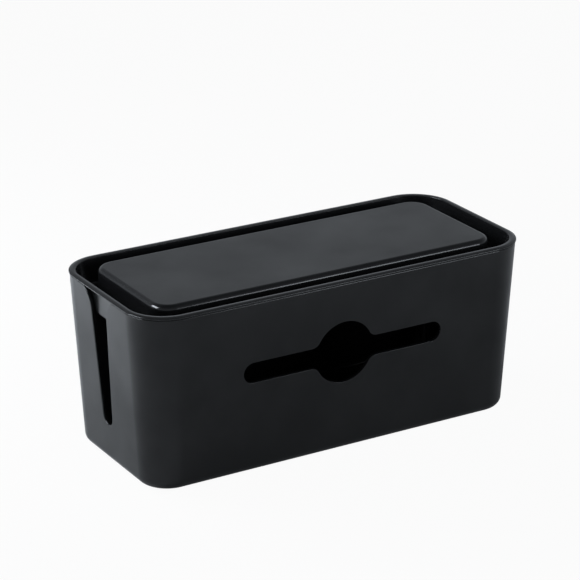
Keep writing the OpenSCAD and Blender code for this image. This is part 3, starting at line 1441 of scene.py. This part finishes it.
@dataclass(frozen=True)
class WallPlate:
    """The clear plate that is stuck to a wall: a bar with windows on a film with adhesive.

    Attributes:
        form: the sizes that it shares with the rails.
        middle_window: width of the middle window.
        side_window: width of each side window.
        window_height: height of the windows.
        rib: width of the ribs between the windows.
        window_floor: thickness left behind the windows.
        window_draft: how much smaller a window is at its floor than at its mouth.
        edge: radius of the bar's edges.
        stud_radius: radius of the small studs where the ribs meet the sides of the bar.
        stud_taper: radius of a stud's tip as a share of that at its foot.
        stud_height: how far they stand out.
        film_radius: corner radius of the film and the adhesive.
        film_edge: radius of their edges.
        film_gap: gap left between layers, so that their faces don't lie in one another.
    """

    form: PlateForm
    middle_window: float = 31.9 * MM
    side_window: float = 17.8 * MM
    window_height: float = 16.6 * MM
    rib: float = 2.0 * MM
    window_floor: float = 1.2 * MM
    window_draft: float = 0.7 * MM
    edge: float = 0.3 * MM
    stud_radius: float = 0.7 * MM
    stud_taper: float = 0.8
    stud_height: float = 0.2 * MM
    film_radius: float = 4 * MM
    film_edge: float = 0.1 * MM
    film_gap: float = 0.03 * MM

    # Number of edges round a stud, and along each corner of the film
    STUD_STEPS: ClassVar[int] = 24
    FILM_STEPS: ClassVar[int] = 10

    def build(self, finishes: Finishes) -> None:
        """Makes the bar, the film and the adhesive.

        Args:
            finishes: the materials.
        """
        self._bar(finishes)
        self._sheet("backing_film", Slot.FILM, finishes)
        self._sheet("adhesive_layer", Slot.ADHESIVE, finishes)

    @property
    def middle(self) -> float:
        """Height of the bar's middle."""
        return self.form.low + self.form.bar_height / 2

    @property
    def rib_end(self) -> float:
        """Distance of a rib's outer side from the middle of the bar."""
        return self.middle_window / 2 + self.rib

    def _bar(self, finishes: Finishes) -> None:
        """Makes the bar, with a tongue at each end and three windows sunk into its front.

        Args:
            finishes: the materials.
        """
        form = self.form
        bm = bmesh.new()
        half = form.bar_length / 2
        body = half - form.tongue_length
        block(
            bm,
            Vector((-half, form.front, form.low)),
            Vector((half, form.front + form.tongue_thickness, form.low + form.bar_height)),
        )
        for x in (self.middle_window / 2, self.rib_end, self.rib_end + self.side_window, body):
            for side in (-1, 1):
                cut(bm, RIGHT * side * x, RIGHT)
        for side in (-1, 1):
            cut(bm, UP * (self.middle + side * self.window_height / 2), UP)
        back = [face for face in faces_towards(bm, BACK) if abs(face.calc_center_median().x) < body]
        pull_faces(bm, back, BACK * (form.back - form.front - form.tongue_thickness - self.film_gap))
        depth = form.back - form.front - self.window_floor
        for floor in bmesh.ops.extrude_discrete_faces(bm, faces=self._window_faces(bm))["faces"]:
            size = Vector((self._width(floor, 0), 0.0, self._width(floor, 2)))
            shrink = Vector((1 - self.window_draft / size.x, 1.0, 1 - self.window_draft / size.z))
            space = Matrix.Translation(-floor.calc_center_median())
            bmesh.ops.scale(bm, vec=shrink, space=space, verts=floor.verts[:])
            bmesh.ops.translate(bm, vec=BACK * depth, verts=floor.verts[:])
        bmesh.ops.remove_doubles(bm, verts=bm.verts[:], dist=SAME_PLACE)
        bmesh.ops.dissolve_limit(bm, angle_limit=FLAT_TURN, verts=bm.verts[:], edges=bm.edges[:])
        outward(bm)
        round_edges(bm, sharp_edges(bm), self.edge, FINE)
        self._add_studs(bm)
        Piece("clear_hanger_bar", Body.PLATE, Slot.BAR, "hanger_bar").finish(bm, finishes)

    @staticmethod
    def _width(face: BMFace, axis: int) -> float:
        """Returns how wide a face is along an axis."""
        places = [vert.co[axis] for vert in face.verts]
        return max(places) - min(places)

    def _window_faces(self, bm: BMesh) -> list[BMFace]:
        """Finds the faces of the bar's front that are sunk in.

        Args:
            bm: the mesh, cut along the windows.

        Returns:
            The three faces.
        """
        found = []
        for face in faces_towards(bm, FRONT):
            centre = face.calc_center_median()
            x = abs(centre.x)
            inside = x < self.middle_window / 2 or self.rib_end < x < self.rib_end + self.side_window
            if inside and abs(centre.z - self.middle) < self.window_height / 2:
                found.append(face)
        return found

    def _add_studs(self, bm: BMesh) -> None:
        """Adds a small round stud at each end of both ribs.

        Args:
            bm: the mesh of the bar.
        """
        x = self.rib_end - self.rib / 2
        z = self.window_height / 2 + self.stud_radius
        for side_x in (-1, 1):
            for side_z in (-1, 1):
                place = Matrix.Translation((side_x * x, self.form.front, self.middle + side_z * z))
                stud = bmesh.new()
                bmesh.ops.create_cone(
                    stud,
                    cap_ends=True,
                    segments=self.STUD_STEPS,
                    radius1=self.stud_radius,
                    radius2=self.stud_radius * self.stud_taper,
                    depth=2 * self.stud_height,
                    matrix=place @ Matrix.Rotation(math.pi / 2, 4, "X"),
                )
                outward(stud)
                add_to(bm, stud)

    def _sheet(self, node: str, slot: Slot, finishes: Finishes) -> None:
        """Makes an upright sheet with rounded corners, as large as its CAD node.

        Args:
            node: the CAD node.
            slot: the slot it takes its finish from.
            finishes: the materials.
        """
        low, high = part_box(node)
        radius = self.film_radius
        outline = Outline((high.x - low.x) / 2 - radius, (high.z - low.z) / 2 - radius, 0.0)
        front = low.y + self.film_gap
        levels = (0.0, front - high.y)
        stations = [Station(outline, radius, level, self.film_edge, segments=2) for level in levels]
        bm = Shell.solid(stations, self.FILM_STEPS)
        upright = Matrix(((1, 0, 0), (0, 0, -1), (0, 1, 0))).to_4x4()
        place = Matrix.Translation((0.0, front, (low.z + high.z) / 2))
        bmesh.ops.transform(bm, matrix=place @ upright, verts=bm.verts[:])
        Piece(f"clear_{node}", Body.PLATE, slot, node).finish(bm, finishes)


# ---------------------------------------------------------------- studio


@dataclass(frozen=True)
class Lamp:
    """A soft rectangular lamp that points at the box.

    Attributes:
        name: the lamp's name.
        azimuth: where it stands about the box, in degrees; 0 is in front and 90 to the right.
        elevation: its angle above the table, in degrees.
        distance: its distance from the box.
        width: its width.
        height: its height.
        strength: how bright its face is; 1 is white.
        role: what it does.
    """

    name: str
    azimuth: float
    elevation: float
    distance: float
    width: float
    height: float
    strength: float
    role: Role

    def away(self) -> Vector:
        """Works out where the lamp stands.

        Returns:
            The direction from the box to the lamp.
        """
        azimuth, elevation = math.radians(self.azimuth), math.radians(self.elevation)
        level = math.cos(elevation)
        return Vector((math.sin(azimuth) * level, -math.cos(azimuth) * level, math.sin(elevation)))


@dataclass(frozen=True)
class Studio:
    """A pale floor, plain soft lamps and the camera.

    Attributes:
        target: what the lamps and the camera point at.
        camera_place: where the camera stands.
        camera_roll: how far the camera is turned about its own axis, in degrees.
        lens: focal length of the camera, in millimetres.
        sensor: width of the camera's sensor, in millimetres.
        horizon: how bright the world is at the horizon, as a light; 1 is white.
        overhead: how bright it is straight above.
        floor_colour: colour of the floor's paint.
        floor_radius: how far the floor reaches.
        white_share: how much of the floor is plain white to the camera; the rest shows shadows.
        mirror_share: how much of that white the gloss of a surface shows.
        highlight_and_flow_share: colour of all the lights.
        lamps: the lamps.
    """

    target: Vector = field(default_factory=lambda: Vector((-0.00614, -0.00509, 0.09067)))
    camera_place: Vector = field(default_factory=lambda: Vector((-0.7213, -1.2083, 0.6302)))
    camera_roll: float = -0.09
    lens: float = 151.73
    sensor: float = 36.0
    horizon: float = 0.475
    overhead: float = 0.02
    floor_colour: Colour = (0.56, 0.56, 0.56)
    floor_radius: float = 30.0
    white_share: float = 0.955
    mirror_share: float = 0.02
    highlight_and_flow_share: Colour = (0.87, 0.93, 1.0)
    lamps: tuple[Lamp, ...] = (
        Lamp("key", -140.0, 18.5, 0.61, 0.45, 0.45, 7.8, Role.LIGHT),
        Lamp("left_light", -90.0, 50.0, 1.2, 0.8, 0.8, 0.7, Role.LIGHT),
        Lamp("front_fill", 35.0, 12.0, 0.9, 0.8, 0.35, 3.1, Role.LIGHT),
        Lamp("left_strip", -112.0, 34.0, 1.7, 1.1, 0.6, 12.0, Role.GLINT),
        Lamp("front_bank", 32.0, 8.0, 1.7, 0.42, 0.7, 4.6, Role.GLINT),
    )

    # Number of edges round the floor
    FLOOR_STEPS: ClassVar[int] = 64

    def build(self) -> None:
        """Makes the camera, the lamps, the floor and the world."""
        self._camera()
        for lamp in self.lamps:
            self._lamp(lamp)
        self._floor()
        self._world()
        bpy.context.scene.view_settings.view_transform = "Standard"

    @staticmethod
    def _facing(direction: Vector) -> Matrix:
        """Returns the turn that points a lamp or a camera in a direction, upright."""
        return direction.to_track_quat("-Z", "Y").to_matrix()

    def _camera(self) -> None:
        """Makes the camera."""
        data = bpy.data.cameras.new("camera")
        data.lens = self.lens
        data.sensor_width = self.sensor
        camera = add_object("camera", data)
        roll = Matrix.Rotation(math.radians(self.camera_roll), 3, "Z")
        turn = self._facing(self.target - self.camera_place) @ roll
        camera.matrix_world = Matrix.Translation(self.camera_place) @ turn.to_4x4()
        bpy.context.scene.camera = camera

    def _lamp(self, lamp: Lamp) -> None:
        """Makes a lamp.

        Args:
            lamp: its place, size and brightness.
        """
        data = bpy.data.lights.new(lamp.name, "AREA")
        data.shape = "RECTANGLE"
        data.size = lamp.width
        data.size_y = lamp.height
        data.energy = lamp.strength * math.pi * lamp.width * lamp.height
        data.color = self.highlight_and_flow_share
        made = add_object(lamp.name, data)
        made.visible_glossy = lamp.role is Role.GLINT
        made.visible_diffuse = lamp.role is Role.LIGHT
        away = lamp.away()
        place = Matrix.Translation(self.target + lamp.distance * away)
        made.matrix_world = place @ self._facing(-away).to_4x4()

    def _floor(self) -> None:
        """Makes the floor, which the camera sees as nearly white, with the box's shadow on it."""
        bm = bmesh.new()
        bmesh.ops.create_circle(bm, cap_ends=True, segments=self.FLOOR_STEPS, radius=self.floor_radius)
        mesh = mesh_of(bm, "floor")
        floor = add_object("floor", mesh)
        material = bpy.data.materials.new("pale_floor")
        graph = Graph(material)
        paint = graph.node("ShaderNodeBsdfDiffuse", {}, {"Color": (*self.floor_colour, 1.0)})
        white = graph.node("ShaderNodeEmission", {}, {"Color": (*WHITE, 1.0), "Strength": 1.0})
        share = self.white_share * self._seen(graph)
        graph.surface(graph.node("ShaderNodeMixShader", {}, {0: share, 1: paint, 2: white}))
        mesh.materials.append(material)

    def _world(self) -> None:
        """Makes the world, white behind the box and plainer as a light."""
        world = bpy.data.worlds.new("studio")
        bpy.context.scene.world = world
        graph = Graph(world)
        direction = graph.node("ShaderNodeTexCoord").outputs["Generated"]
        height = graph.value(graph.node("ShaderNodeSeparateXYZ", {}, {0: direction}), "Z").at_least(0.0)
        seen = self._seen(graph)
        light = self.horizon - (self.horizon - self.overhead) * height
        strength = light * (1.0 - seen) + seen
        colour = graph.mix(seen, self.highlight_and_flow_share, WHITE)
        graph.surface(graph.node("ShaderNodeBackground", {}, {"Color": colour, "Strength": strength}))

    def _seen(self, graph: Graph) -> Value:
        """Works out how much of the white background a ray shows: all to the camera and through glass.

        Args:
            graph: the node tree that asks.

        Returns:
            The share, from 0 to 1.
        """
        path = graph.node("ShaderNodeLightPath")
        clear = graph.value(path, "Is Camera Ray") + graph.value(path, "Is Transmission Ray")
        return (clear + self.mirror_share * graph.value(path, "Is Glossy Ray")).at_most(1.0)


def main() -> None:
    """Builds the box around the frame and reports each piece."""
    logging.basicConfig(level=logging.INFO, format="%(name)s: %(message)s")
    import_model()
    finishes = Finishes()
    form = BoxForm.from_frame()
    plate = PlateForm.from_frame()
    Tub(form, plate).build(finishes)
    Lid(form).build(finishes)
    for node in ("foot_front_left", "foot_front_right", "foot_back_left", "foot_back_right"):
        Foot(node).build(finishes)
    WallPlate(plate).build(finishes)
    Studio().build()


if __name__ == "__main__":
    main()
